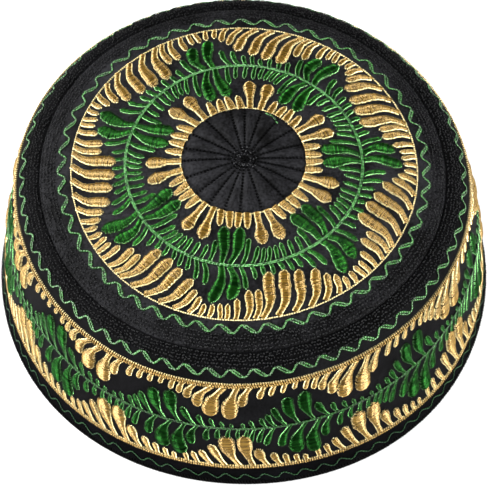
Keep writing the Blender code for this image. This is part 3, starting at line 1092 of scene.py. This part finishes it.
def ring(distance, half_width, height, placed=None, wander=0.0, lift=0.0):
    """A closed row around the cap, all in mm. A row that wanders strays from its distance in three waves."""
    turns = np.linspace(0, math.tau, RING_POINTS + 1)[:-1]
    distances = np.full(RING_POINTS, distance * MM) + wander * MM * np.sin(3 * turns + distance)
    if placed:
        distances, turns = placed(distances, turns)
    return path(distances, turns, half_width * MM, height * MM, closed=True, lift=lift * MM)


gold_borders = sew(
    "gold_borders",
    [ring(*row) for row in GOLD_RINGS],
    GOLD_RAYON,
    short_arch,
    pitch=0.9 * MM,
    thread_half_width=0.36 * MM,
    turn=0.15,
    seed=11,
)
LOOSE_END = path(MM * np.array([21.3, 21.2, 20.8, 20.0]), np.radians([64, 60, 55, 50]), 0.85 * MM, 0.34 * MM)
crown_stem = sew(
    "crown_stem",
    [ring(s, 0.85, 0.42, placed_on_crown, lift=0.15) for s in VINE_STRANDS] + [LOOSE_END],
    PALE_GREEN_RAYON,
    short_arch,
    pitch=1.35 * MM,
    thread_half_width=0.28 * MM,
    seed=13,
    **RUNNING,
)
wall_stem = sew(
    "wall_stem",
    [ring(s, 0.85, 0.42, lift=0.1) for s in WALL_STRANDS],
    DEEP_GREEN_RAYON,
    short_arch,
    pitch=1.35 * MM,
    thread_half_width=0.34 * MM,
    seed=14,
    **RUNNING,
)

# %% [markdown]
# ## Wavy lines
#
# Three wavy lines of running stitch follow the crown, the top of the wall and the hem. Plain sine
# waves would look drawn. The machine sews each wave with a long leg and a short one, and goes over
# the two upper lines twice, so that they split in two on the long legs.

# %% Wavy lines
WAVY_LINES = (
    # (distance, waves around the cap, height of a wave, first crest, wander, turn of the wander),
    # in mm and degrees
    (66.3, 49, 1.35, 240.6, 0.6, 330),
    (82.05, 62, 1.35, 237.2, 0.25, 320),
    (141.0, 80, 1.1, 238.0, 0.1, 0),
)
WAVE_LEAN = 0.3
WAVE_SLIPS = (-0.9, -1.3, -1.2, -1.5, -1.2, -0.6, -0.4, -0.25, -0.15)
WAVE_SLIPS += (0.2, 0.3, 0.3, 0, -0.4, -0.8, -0.9, -0.9, -1)
POINTS_IN_A_WAVE = 24
STRANDS_APART = (-0.30, 0.30)


def wavy(distance, waves, height, crest, wander, wander_turn, apart=0.0, slips=(0.0,)):
    """One strand of a wavy line.

    Two strands lie apart on the long falling side of each wave and meet on its rise.
    """
    turns = np.linspace(0, math.tau, POINTS_IN_A_WAVE * waves + 1)[:-1]
    phase = waves * (turns - math.radians(crest))
    falling = np.clip(1.3 * np.sin(phase), 0, 1)
    leaning = turns + WAVE_LEAN * (1 - np.cos(phase)) / waves
    leaning = leaning - MM * apart * falling / cap_radius(MM * distance)
    middle = distance + wander * np.cos(turns - math.radians(wander_turn))
    distances = MM * (middle - height * np.cos(phase) + apart * falling)
    return path(distances, slipped(leaning, slips), 0.62 * MM, 0.34 * MM, closed=True)


wavy_lines = sew(
    "wavy_lines",
    [wavy(*WAVY_LINES[0], apart, WAVE_SLIPS) for apart in STRANDS_APART]
    + [wavy(*WAVY_LINES[1], apart) for apart in STRANDS_APART],
    WAVY_GREEN_RAYON,
    short_arch,
    pitch=1.0 * MM,
    thread_half_width=0.36 * MM,
    seed=17,
    **RUNNING,
)
hem_wavy_line = sew(
    "hem_wavy_line",
    [wavy(*WAVY_LINES[2])],
    DARK_GREEN_RAYON,
    short_arch,
    pitch=1.2 * MM,
    thread_half_width=0.26 * MM,
    seed=19,
    **RUNNING,
)

# %% [markdown]
# ## Black stitching
#
# Close rows of black stitches stiffen the shoulder on both sides of the seam. Lines of running
# stitch quilt the centre disc and meet at a knot a little off the cap's axis, and an overlocked edge
# finishes the hem.

# %% Shoulder rows, quilting and hem edge
QUILT_LINE = (3.4, 21.6)  # where a quilting line starts and ends, in mm from the knot
KNOT_RINGS = (0.5, 1.3)
DOT_RINGS = (2.2, 3.3, 4.5)
OVERLOCK_UP = 1.3

shoulder_stitches = sew(
    "shoulder_stitches",
    [ring(s, 0.34, 0.42, wander=0.15) for s in SHOULDER_ROWS],
    BLACK_POLYESTER,
    short_arch,
    pitch=1.15 * MM,
    thread_half_width=0.21 * MM,
    turn=math.pi / 2,
    turn_jitter=0.9,
    size_jitter=0.5,
    place_jitter=0.3 * MM,
    seed=23,
)


def placed_on_knot(distance, turn):
    return moved_by(distance, turn, *KNOT)


def quilting_line(degrees):
    places = placed_on_knot(MM * np.linspace(*QUILT_LINE, 20), math.radians(degrees))
    return path(*places, 0.28 * MM, 0.44 * MM, lift=0.12 * MM)


quilting = sew(
    "quilting",
    [quilting_line(line) for line in QUILT_LINES] + [ring(s, 0.4, 0.4, placed_on_knot) for s in KNOT_RINGS],
    MATT_BLACK_COTTON,
    short_arch,
    pitch=1.22 * MM,
    thread_half_width=0.40 * MM,
    seed=29,
    **RUNNING,
)
centre_knot = sew(
    "centre_knot",
    [ring(s, 0.26, 0.34, placed_on_knot, wander=0.2) for s in DOT_RINGS],
    GLINT_PAINTED_POLYESTER,
    short_arch,
    pitch=1.15 * MM,
    thread_half_width=0.20 * MM,
    turn_jitter=1.2,
    size_jitter=0.6,
    place_jitter=0.4 * MM,
    seed=37,
)
hem_overlock = sew(
    "hem_overlock",
    [ring(HEM / MM - OVERLOCK_UP, 1.0, 0.35)],
    MATT_BLACK_COTTON,
    short_arch,
    pitch=1.1 * MM,
    thread_half_width=0.34 * MM,
    turn=0.35,
    turn_jitter=0.1,
    seed=31,
)

# %% [markdown]
# ## Joining the scene to the model
#
# Each cloth piece stands for its solid, which is hidden, and the size of the flat cloth that it was cut from
# is printed. All thread rides on the same body.

crown_threads = [crown_gold, crown_green, crown_stem, quilting, centre_knot]
wall_threads = [wall_gold, wall_green, wall_stem, gold_borders, wavy_lines, shoulder_stitches]
hem_threads = [hem_wavy_line, hem_overlock]
for piece in [crown_cloth, band_cloth, hem_cloth, *crown_threads, *wall_threads, *hem_threads]:
    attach(piece, "root")
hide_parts("crown_panel")
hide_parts("side_band")
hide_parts("hem_strip")
# the crown is cut as a disc. The band is cut from its turned-in edge to the end of its tongue, and is as
# long as the way around there. The hem strip is as long as the hem, and its lower part is folded up inside.
tongue_end = LAP_TOP + LAP_LENGTH
crown_cut = CROWN_SEAM + ALLOWANCE_DEPTH
band_cut = (ALLOWANCE_DEPTH + tongue_end - CROWN_SEAM, math.tau * cap_radius(tongue_end))
hem_cut = (HEM_STRIP_WIDTH + HEM - ledge, math.tau * cap_radius(HEM))
crown_size, crown_area = (2 * crown_cut, 2 * crown_cut), math.pi * crown_cut**2
for name, size in (("crown", crown_size), ("band", band_cut), ("hem", hem_cut)):
    print(f"the {name} is cut {size[0] / MM:.1f} by {size[1] / MM:.1f} mm")

for spare in (satin_arch, short_arch):
    bpy.data.objects.remove(spare)

# %% Measure and finish
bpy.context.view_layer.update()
total = 0
for piece in bpy.context.scene.objects:
    if piece.type == "MESH" and not piece.hide_render:
        piece.data.calc_loop_triangles()
        total += len(piece.data.loop_triangles)
print("triangles in all", total)
